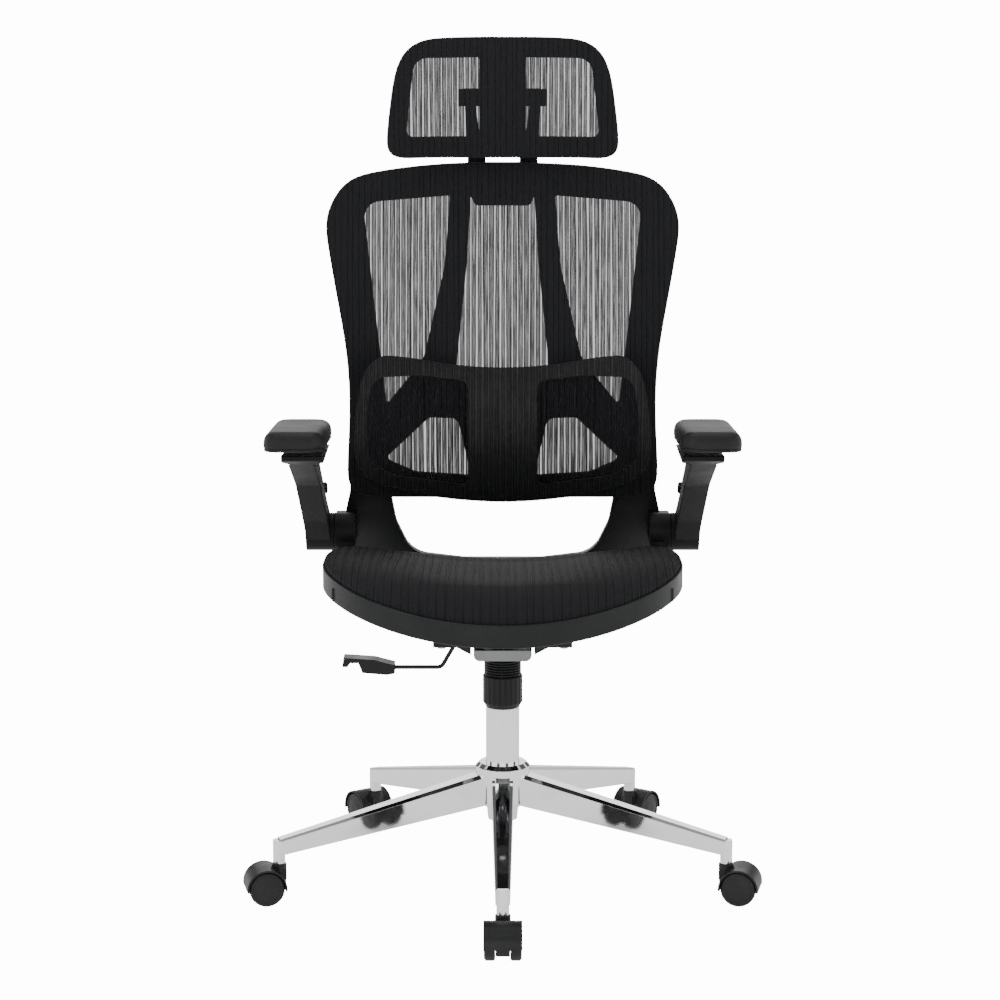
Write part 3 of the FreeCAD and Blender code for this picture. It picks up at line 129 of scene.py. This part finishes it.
def rib_group():
    """Ribbed elastic mesh: how far the yarns stand apart at each spot, their height and their tone, which
    carries painted shade in the slits between the cords.
    Across counts the ribs, a pitch apart, and Along follows them."""
    net, given, out = group(
        "Ribs",
        [("Across", FLOAT, 0.0), ("Along", FLOAT, 0.0), ("Pitch", FLOAT, 0.009)],
        [("Gap", FLOAT), ("Height", FLOAT), ("Tone", FLOAT)])
    ratio = net.math("DIVIDE", given["Across"], given["Pitch"])
    line = net.add("ShaderNodeCombineXYZ", {"X": ratio, "Y": net.math("MULTIPLY", given["Along"], 1.4)})
    warp = net.noise(line.outputs[0], 0.9, 2.0)
    phase = net.math("ADD", ratio, net.math("MULTIPLY", warp, 1.1))
    part = net.math("FRACT", phase)
    slit = net.math("MULTIPLY", net.ramp(part, 0.0, 0.07), net.ramp(part, 0.27, 0.17, 0.0, 1.0))
    cord_a = net.math("MULTIPLY", net.ramp(part, 0.25, 0.31), net.ramp(part, 0.42, 0.36, 0.0, 1.0))
    cord_b = net.math("MULTIPLY", net.ramp(part, 0.84, 0.89), net.ramp(part, 0.99, 0.95, 0.0, 1.0))
    cords = net.math("MAXIMUM", cord_a, cord_b)
    streak_place = net.add("ShaderNodeCombineXYZ", {
        "X": net.math("MULTIPLY", ratio, 3.4), "Y": net.math("MULTIPLY", given["Along"], 9.0)})
    streak = net.noise(streak_place.outputs[0], 2.3, 3.0, 0.7)
    weave = net.math("SINE", net.math("MULTIPLY", given["Along"], 2 * math.pi / YARN_PITCH))
    base = net.ramp(streak, 0.30, 0.70, 0.36, 0.86)
    base = net.math("ADD", base, net.math("MULTIPLY", weave, 0.05))
    cover = net.math("MAXIMUM", base, net.math("MULTIPLY", cords, 0.95))
    unslit = net.math("SUBTRACT", 1.0, net.math("MULTIPLY", slit, 0.80))
    cover = net.math("MULTIPLY", cover, unslit, clamp=True)
    height = net.math("SUBTRACT", net.math("ADD", net.math("MULTIPLY", streak, 0.5), cords), slit)
    gap = net.math("SUBTRACT", 1.0, cover)
    net.feed(out["Gap"], net.math("MULTIPLY", gap, gap))
    net.feed(out["Height"], height)
    # Tone: random streaks, darkened by 0.45 in the slits between the cords as painted shade.
    net.feed(out["Tone"], net.math("SUBTRACT", net.ramp(streak, 0.25, 0.75, 0.8, 1.25),
                                   net.math("MULTIPLY", slit, 0.45)))
    return net.tree


GRAIN = grain_group()
RIBS = rib_group()


def material(name):
    item = bpy.data.materials.new(name)
    item.use_nodes = True
    item.node_tree.nodes.clear()
    net = Net(item.node_tree)
    output = net.add("ShaderNodeOutputMaterial")
    return item, net, output.inputs["Surface"]


def tinted(net, colour, tone):
    scaled = net.add("ShaderNodeVectorMath", operation="SCALE")
    scaled.inputs[0].default_value = colour
    net.feed(scaled.inputs["Scale"], tone)
    return scaled.outputs[0]


def moulded(name, colour, roughness, specular, grain=1.0, depth=0.25, edge=0.001):
    item, net, surface = material(name)
    grains = net.add("ShaderNodeGroup", {"Scale": grain, "Depth": depth, "Edge": edge}, node_tree=GRAIN)
    worn = net.math("ADD", roughness, net.math("MULTIPLY", grains.outputs["Rub"], -0.08))
    shader = net.add("ShaderNodeBsdfPrincipled", {
        "Base Color": tinted(net, colour, grains.outputs["Tone"]), "Roughness": worn,
        "Specular IOR Level": specular, "Normal": grains.outputs["Normal"]})
    net.feed(surface, shader.outputs[0])
    return item


def metal(name, colour, roughness, smear=0.05):
    item, net, surface = material(name)
    grains = net.add("ShaderNodeGroup", {"Scale": 0.6, "Depth": 0.02, "Edge": 0.0012}, node_tree=GRAIN)
    worn = net.math("ADD", roughness, net.math("MULTIPLY", grains.outputs["Rub"], smear))
    shader = net.add("ShaderNodeBsdfPrincipled", {
        "Base Color": tinted(net, colour, net.ramp(grains.outputs["Rub"], 0.0, 1.0, 1.0, 0.94)),
        "Metallic": 1.0, "Roughness": worn, "Normal": grains.outputs["Normal"]})
    net.feed(surface, shader.outputs[0])
    return item


def fabric(name, colour, pitch, clear=None, height=0.6, seat=False):
    """Ribbed mesh cloth. clear gives the share of light that passes everywhere, and what the gaps add."""
    item, net, surface = material(name)
    split = net.add("ShaderNodeSeparateXYZ", {0: net.place()})
    along = split.outputs["Y"] if seat else split.outputs["Z"]
    ribs = net.add("ShaderNodeGroup", {"Across": split.outputs["X"], "Along": along, "Pitch": pitch},
                   node_tree=RIBS)
    bump = net.add("ShaderNodeBump", {"Strength": height, "Distance": 0.0008,
                                      "Height": ribs.outputs["Height"]})
    shader = net.add("ShaderNodeBsdfPrincipled", {
        "Base Color": tinted(net, colour, ribs.outputs["Tone"]), "Roughness": 0.85,
        "Specular IOR Level": 0.18, "Sheen Weight": 0.05, "Sheen Roughness": 0.5, "Normal": bump.outputs[0]})
    if clear:
        through = net.add("ShaderNodeBsdfTransparent")
        passed = net.math("MULTIPLY_ADD", ribs.outputs["Gap"], clear[1], clear[0], clamp=True)
        mixed = net.add("ShaderNodeMixShader", {0: passed, 1: shader.outputs[0], 2: through.outputs[0]})
        net.feed(surface, mixed.outputs[0])
    else:
        net.feed(surface, shader.outputs[0])
    return item


MESH_COLOUR = (0.0110, 0.0112, 0.0132)
MESH_RIB_PITCH = 0.0088

# One finish for each material slot of the record.
FINISHES = {
    "chrome": metal("chrome", (0.94, 0.945, 0.955), 0.035, 0.03),
    "zinc": metal("zinc", (0.22, 0.225, 0.23), 0.30, 0.12),
    "steel": metal("steel", (0.50, 0.51, 0.53), 0.28, 0.1),
    "spring": metal("black_oxide", (0.05, 0.05, 0.055), 0.4),
    "steel_black": moulded("powder_coat", (0.010, 0.010, 0.011), 0.42, 0.35, 0.5, 0.35),
    "frame_plastic": moulded("frame_nylon", (0.013, 0.013, 0.014), 0.46, 0.30, 1.0, 0.3, 0.002),
    "arm_plastic": moulded("arm_nylon", (0.009, 0.009, 0.010), 0.44, 0.11, 1.0, 0.3, 0.003),
    "seat_plastic": moulded("seat_shell", (0.011, 0.012, 0.012), 0.38, 0.24, 0.8, 0.2, 0.003),
    "pad_skin": moulded("pad_skin", (0.014, 0.014, 0.015), 0.50, 0.24, 0.45, 0.45),
    "wheel": moulded("wheel_nylon", (0.012, 0.012, 0.013), 0.40, 0.30, 0.8, 0.15),
    "hood_plastic": moulded("hood_nylon", (0.014, 0.014, 0.015), 0.42, 0.28, 0.8, 0.2, 0.0015),
    "knob_plastic": moulded("knob_abs", (0.009, 0.009, 0.010), 0.36, 0.24, 0.8, 0.15, 0.0006),
    "mesh_fabric": fabric("mesh_cloth", MESH_COLOUR, MESH_RIB_PITCH, (0.0, 0.080)),
    "seat_fabric": fabric("seat_cloth", (0.0100, 0.0104, 0.0125), 0.0125, None, 0.9, seat=True),
}

# The lumbar pad's cloth is a more open net, so that light still passes it and the back's cloth.
LUMBAR_NET = fabric("lumbar_net", MESH_COLOUR, MESH_RIB_PITCH, (0.40, 1.6))

for row in frame["record"]["subparts"]:
    part = NODES[row["node"]].data
    part.materials.clear()
    part.materials.append(FINISHES[row["material_slot"]])


# ---------------------------------------------------------------- mesh building

def mesh_piece(name, points, faces, body, slot):
    data = bpy.data.meshes.new(name)
    data.from_pydata([tuple(p) for p in points], [], faces)
    data.update()
    data.materials.append(FINISHES[slot])
    data.polygons.foreach_set("use_smooth", [True] * len(data.polygons))
    piece = bpy.data.objects.new(name, data)
    bpy.context.scene.collection.objects.link(piece)
    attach(piece, body)
    return piece


def reach_of(node, centre, axes, count):
    """How far a CAD sheet reaches from a centre, at evenly spaced angles, seen along its thin way."""
    data = NODES[node].data
    points = np.empty(len(data.vertices) * 3)
    data.vertices.foreach_get("co", points)
    points = points.reshape(-1, 3)[:, axes] - np.array(centre)
    ends = np.empty(len(data.edges) * 2, dtype=int)
    data.edges.foreach_get("vertices", ends)
    a, b = points[ends.reshape(-1, 2)].transpose(1, 0, 2)
    reaches = []
    for step in range(count):
        angle = 2 * math.pi * step / count
        ray = np.array((math.cos(angle), math.sin(angle)))
        side_a = ray[0] * a[:, 1] - ray[1] * a[:, 0]
        side_b = ray[0] * b[:, 1] - ray[1] * b[:, 0]
        crossing = side_a * side_b <= 0
        gap = np.where(np.abs(side_a - side_b) < 1e-12, 1e-12, side_a - side_b)
        share = np.clip(side_a / gap, 0, 1)
        hit = a + (b - a) * share[:, None]
        reaches.append(float(np.max(np.where(crossing, hit @ ray, 0))))
    return reaches


def cloth_sheet(name, reaches, centre, surface, rows, wrap, body, slot):
    """A sheet laid out in rings round its centre. rows are shares of the way out to the edge. wrap lists the
    rings that follow the edge: how far past it, and how far behind the surface. surface(a, b, behind) gives
    a point in space."""
    count = len(reaches)
    points = [surface(centre[0], centre[1], 0.0)]
    rings = [(share, 0.0, 0.0) for share in rows] + [(1.0, outward, behind) for outward, behind in wrap]
    for share, outward, behind in rings:
        for step, reach in enumerate(reaches):
            angle = 2 * math.pi * step / count
            length = reach * share + outward
            a = centre[0] + length * math.cos(angle)
            b = centre[1] + length * math.sin(angle)
            points.append(surface(a, b, behind))
    faces = [(0, 1 + step, 1 + (step + 1) % count) for step in range(count)]
    for ring in range(len(rings) - 1):
        low = 1 + ring * count
        for step in range(count):
            after = (step + 1) % count
            faces.append((low + step, low + count + step, low + count + after, low + after))
    return mesh_piece(name, points, faces, body, slot)


def spread(low, high, count):
    return [low + (high - low) * index / (count - 1) for index in range(count)]


# ---------------------------------------------------------------- cloth of the back, lumbar pad and headrest

def back_depth(x, z):
    if z > 0.700:
        sweep = ((z - 0.700) / 0.366) ** 2
    elif z < 0.660:
        sweep = ((0.660 - z) / 0.190) ** 2
    else:
        sweep = 0.0
    return 0.138 + 0.067 * sweep - 0.035 * (x / 0.261) ** 2


def lumbar_depth(x, z):
    return 0.100 + 0.025 * ((z - 0.690) / 0.110) ** 2 - 0.045 * (x / 0.218) ** 2


def head_depth(x, z):
    return 0.150 + 0.012 * ((z - 1.165) / 0.087) ** 2 - 0.028 * (x / 0.168) ** 2


# name: centre, depth, how far in front of it, depth of the turned edge, body. The CAD's cloth is NAME_mesh
# and its frame is NAME_frame.
UPRIGHT_SHEETS = {
    "back": ((0.0, 0.810), back_depth, 0.0012, 0.017, "seat"),
    "lumbar": ((0.0, 0.668), lumbar_depth, 0.0020, 0.008, "lumbar"),
    "headrest": ((0.0, 1.160), head_depth, 0.0016, 0.012, "headrest"),
}
SHEET_SPOKES = 288
SHEET_INSET = 0.0012


def turned_edge(thick, roll=0.0022):
    """The cloth's edge: it rolls over the frame's side and runs to its rear."""
    steps = [(roll * math.sin(t), roll * (1 - math.cos(t))) for t in spread(0.3, math.pi / 2, 4)]
    return steps + [(roll, thick * share) for share in (0.5, 0.85)]


def make_upright_sheets():
    for name, (centre, depth, ahead, thick, body) in UPRIGHT_SHEETS.items():
        node = name + "_mesh"

        def surface(x, z, behind):
            return Vector((x, depth(x, z) - ahead + behind, z))

        reaches = [reach - SHEET_INSET for reach in reach_of(node, centre, [0, 2], SHEET_SPOKES)]
        rows = spread(0.02, 0.98, 46) + [1.0]
        sheet = cloth_sheet(name + "_cloth", reaches, centre, surface, rows, turned_edge(thick), body,
                            "mesh_fabric")
        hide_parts(node)
        if name == "lumbar":
            sheet.data.materials[0] = LUMBAR_NET


# ---------------------------------------------------------------- seat cloth and its bead

SEAT_CENTRE = (0.0, -0.045)
SEAT_HALF = 0.263
SEAT_DEPTH_HALF = 0.230
SEAT_INSET = 0.0052


def seat_share(x, y):
    """0 at the seat's middle and 1 on its outline, which is rounder in front than behind."""
    power = 2.02 if y < SEAT_CENTRE[1] else 3.2
    across = abs(x) / SEAT_HALF
    along = abs(y - SEAT_CENTRE[1]) / SEAT_DEPTH_HALF
    return (across ** power + along ** power) ** (1 / power)


def seat_edge_height(x):
    return 0.456 + 0.042 * (x / SEAT_HALF) ** 2


def seat_height(x, y):
    """The seat's top: crowned in front, where the edge falls away, and nearly flat at its rear."""
    front = SEAT_CENTRE[1] - SEAT_DEPTH_HALF
    slide = min(1.0, max(0.0, (y - front - 0.085) / 0.330))
    crown = 0.039 * (1 - slide) + 0.003 * slide
    return seat_edge_height(x) + crown * (1 - min(seat_share(x, y), 1.0) ** 6)


def make_seat_cloth():
    reaches = [reach - SEAT_INSET for reach in reach_of("seat_mesh", SEAT_CENTRE, [0, 1], SHEET_SPOKES)]

    def surface(x, y, below):
        return Vector((x, y, seat_height(x, y) - below))

    rows = spread(0.02, 0.96, 44) + [0.975, 0.988, 1.0]
    wrap = [(0.0010, 0.0012), (0.0015, 0.0035), (0.0012, 0.0075)]
    sheet = cloth_sheet("seat_cloth", reaches, SEAT_CENTRE, surface, rows, wrap, "seat", "seat_fabric")
    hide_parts("seat_mesh")


def tube_maker():
    """Geometry Nodes: a round tube along the edges of a mesh."""
    tree = bpy.data.node_groups.new("TubeAlong", "GeometryNodeTree")
    tree.interface.new_socket("Geometry", in_out="INPUT", socket_type="NodeSocketGeometry")
    tree.interface.new_socket("Radius", in_out="INPUT", socket_type="NodeSocketFloat")
    tree.interface.new_socket("Material", in_out="INPUT", socket_type="NodeSocketMaterial")
    tree.interface.new_socket("Geometry", in_out="OUTPUT", socket_type="NodeSocketGeometry")
    net = Net(tree)
    given = net.add("NodeGroupInput").outputs
    curve = net.add("GeometryNodeMeshToCurve", {0: given["Geometry"]})
    circle = net.add("GeometryNodeCurvePrimitiveCircle", {"Resolution": 12, "Radius": given["Radius"]})
    tube = net.add("GeometryNodeCurveToMesh", {0: curve.outputs[0], 1: circle.outputs[0]})
    smooth = net.add("GeometryNodeSetShadeSmooth", {0: tube.outputs[0]})
    whole = net.add("GeometryNodeRealizeInstances", {0: smooth.outputs[0]})
    painted = net.add("GeometryNodeSetMaterial", {"Geometry": whole.outputs[0],
                                                  "Material": given["Material"]})
    net.add("NodeGroupOutput", {0: painted.outputs[0]})
    return tree


TUBE = tube_maker()


def tube_piece(name, points, radius, body, slot):
    """A closed round bead through the points."""
    line = bpy.data.meshes.new(name + "_line")
    count = len(points)
    edges = [(index, (index + 1) % count) for index in range(count)]
    line.from_pydata([tuple(p) for p in points], edges, [])
    maker = bpy.data.objects.new(name + "_maker", line)
    bpy.context.scene.collection.objects.link(maker)
    modifier = maker.modifiers.new("Tube", "NODES")
    modifier.node_group = TUBE
    sockets = {item.name: item.identifier for item in TUBE.interface.items_tree if item.in_out == "INPUT"}
    modifier[sockets["Radius"]] = radius
    modifier[sockets["Material"]] = FINISHES[slot]
    bpy.context.view_layer.update()
    made = bpy.data.meshes.new_from_object(maker.evaluated_get(bpy.context.evaluated_depsgraph_get()))
    bpy.data.objects.remove(maker)
    piece = bpy.data.objects.new(name, made)
    bpy.context.scene.collection.objects.link(piece)
    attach(piece, body)


# name: how far in from the cloth's outline, how far below its edge, radius
SEAT_BEADS = {
    "seat_rim_lip": (0.0016, 0.0042, 0.0018),
    "seat_rim_foot": (0.0035, 0.0325, 0.0036),
}
BEAD_STEPS = 240


def make_seat_beads():
    reaches = reach_of("seat_mesh", SEAT_CENTRE, [0, 1], BEAD_STEPS)
    for name, (inset, below, radius) in SEAT_BEADS.items():
        points = []
        for step, reach in enumerate(reaches):
            angle = 2 * math.pi * step / BEAD_STEPS
            x = SEAT_CENTRE[0] + (reach - inset) * math.cos(angle)
            y = SEAT_CENTRE[1] + (reach - inset) * math.sin(angle)
            points.append(Vector((x, y, seat_edge_height(x) - below)))
        tube_piece(name, points, radius, "seat", "seat_plastic")


# ---------------------------------------------------------------- arm pads

def plan_ring(half, length, radius, inset, count=20):
    """A rounded rectangle inset evenly, from y = 0 to length."""
    bend = max(radius - inset, 0.003)
    side = half - inset - bend
    front = inset + bend
    rear = length - inset - bend
    corners = [(side, front, -math.pi / 2), (side, rear, 0.0),
               (-side, rear, math.pi / 2), (-side, front, math.pi)]
    points = []
    for x, y, start in corners:
        for angle in spread(start, start + math.pi / 2, count):
            points.append((x + bend * math.cos(angle), y + bend * math.sin(angle)))
    return points


PAD_HALF = 0.0430
PAD_LENGTH = 0.245
PAD_CORNER = 0.026
PAD_CENTRE = 0.295
PAD_FRONT = -0.190
PAD_UNDER = 0.6823
PAD_SLOPE = -4.0

# The pad's section in millimetres, from its underside up, over the seam to the top's middle: inset, height.
MM = 0.001
PAD_PROFILE = [
    (6.0, 0.2), (2.5, 0.4), (0.9, 1.6), (0.5, 3.8), (1.9, 4.6), (1.9, 5.2), (0.4, 6.0), (0.2, 10.0),
    (0.5, 15.0), (1.6, 19.5), (3.8, 23.4), (7.2, 26.4), (11.5, 28.2), (16.5, 28.9), (22.0, 28.9),
    (29.0, 28.5), (36.0, 28.2)]


def make_arm_pads():
    turn = Euler((math.radians(PAD_SLOPE), 0, 0)).to_matrix()
    for side, name in ((1, "right"), (-1, "left")):
        origin = Vector((side * PAD_CENTRE, PAD_FRONT, PAD_UNDER))
        rings = []
        for inset, height in PAD_PROFILE:
            ring = plan_ring(PAD_HALF, PAD_LENGTH, PAD_CORNER, inset * MM)
            rings.append([origin + turn @ Vector((x, y, height * MM)) for x, y in ring])
        count = len(rings[0])
        points = [p for ring in rings for p in ring]
        faces = []
        for ring in range(len(rings) - 1):
            for step in range(count):
                after = (step + 1) % count
                low = ring * count
                faces.append((low + step, low + after, low + count + after, low + count + step))
        faces.append(tuple(range(count - 1, -1, -1)))
        last = (len(rings) - 1) * count
        faces.append(tuple(range(last, last + count)))
        piece = mesh_piece(name + "_pad_skin", points, faces, name + "_arm", "pad_skin")
        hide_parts(name + "_arm_pad")


make_upright_sheets()
make_seat_cloth()
make_seat_beads()
make_arm_pads()


# ---------------------------------------------------------------- stage

# How bright the backdrop and the floor look, and how much the floor glows on what stands on it.
BACKDROP = 14.0
FLOOR_SEEN = 13.35
FLOOR_GLOW = 0.45


def floor_material():
    """White floor, seen so bright that it meets the backdrop without a line."""
    item, net, surface = material("floor_white")
    seen = net.add("ShaderNodeLightPath").outputs["Is Camera Ray"]
    glow = net.math("MULTIPLY_ADD", seen, FLOOR_SEEN - FLOOR_GLOW, FLOOR_GLOW)
    shader = net.add("ShaderNodeBsdfPrincipled", {
        "Base Color": (0.90, 0.90, 0.90, 1.0), "Roughness": 0.9, "Specular IOR Level": 0.0,
        "Emission Color": (1.0, 1.0, 1.0, 1.0), "Emission Strength": glow})
    net.feed(surface, shader.outputs[0])
    return item


def make_floor():
    data = bpy.data.meshes.new("floor")
    data.from_pydata([(-40, -40, 0), (40, -40, 0), (40, 60, 0), (-40, 60, 0)], [], [(0, 1, 2, 3)])
    data.materials.append(floor_material())
    item = bpy.data.objects.new("floor", data)
    bpy.context.scene.collection.objects.link(item)


# The studio's soft boxes: how many stand round the chair, their light and that of the gaps between them.
# Heights are the upward share of the way that one looks.
SOFT_BOXES = 6
BOX_LIGHT = 1.8
GAP_LIGHT = 0.12
BOX_TOP = (0.40, 0.47)
CEILING_START = (0.66, 0.74)
CEILING_END = (0.93, 0.955)


def make_world():
    """A studio of soft boxes with dark gaps between them, on a white backdrop."""
    world = bpy.data.worlds.new("Studio")
    bpy.context.scene.world = world
    world.use_nodes = True
    world.node_tree.nodes.clear()
    net = Net(world.node_tree)
    way = net.add("ShaderNodeSeparateXYZ", {0: net.add("ShaderNodeTexCoord").outputs["Generated"]}).outputs
    around = net.math("ARCTAN2", way["X"], way["Y"])
    round_trip = net.math("COSINE", net.math("MULTIPLY", around, SOFT_BOXES))
    boxes = net.ramp(round_trip, -0.75, -0.25, GAP_LIGHT, BOX_LIGHT)
    wall = net.math("MULTIPLY", boxes, net.ramp(way["Z"], *BOX_TOP, 1.0, 0.06))
    ceiling = net.math("MULTIPLY", net.ramp(way["Z"], *CEILING_START),
                       net.ramp(way["Z"], *CEILING_END, 1.0, 0.05))
    room = net.math("ADD", wall, ceiling)
    seen = net.add("ShaderNodeLightPath").outputs["Is Camera Ray"]
    strength = net.add("ShaderNodeMapRange", {0: seen, 1: 0.0, 2: 1.0, 3: room, 4: BACKDROP})
    shader = net.add("ShaderNodeBackground", {"Color": (1.0, 1.0, 1.0, 1.0),
                                              "Strength": strength.outputs[0]})
    net.add("ShaderNodeOutputWorld", {"Surface": shader.outputs[0]})


def area_light(name, spot, aim, side, power):
    data = bpy.data.lights.new(name, "AREA")
    data.shape = "SQUARE"
    data.size = side
    data.energy = power
    item = bpy.data.objects.new(name, data)
    item.location = spot
    item.rotation_euler = (Vector(aim) - Vector(spot)).to_track_quat("-Z", "Y").to_euler()
    bpy.context.scene.collection.objects.link(item)


make_floor()
make_world()

# name, where it stands, what it aims at, side, power
for row in (
        ("key", (-2.4, -2.6, 3.0), (0, 0, 0.7), 1.6, 24),
        ("fill", (2.8, -2.2, 2.2), (0, 0, 0.6), 1.8, 12),
        ("top", (0.0, 0.4, 3.4), (0, 0, 0.4), 2.4, 22)):
    area_light(*row)

camera = bpy.data.objects.new("camera", bpy.data.cameras.new("camera"))
camera.location = (-0.0039, -4.302, 1.376)
camera.rotation_euler = (math.radians(79.5245), 0, 0)
camera.data.sensor_width = 36
camera.data.lens = 107.02
bpy.context.scene.collection.objects.link(camera)
bpy.context.scene.camera = camera
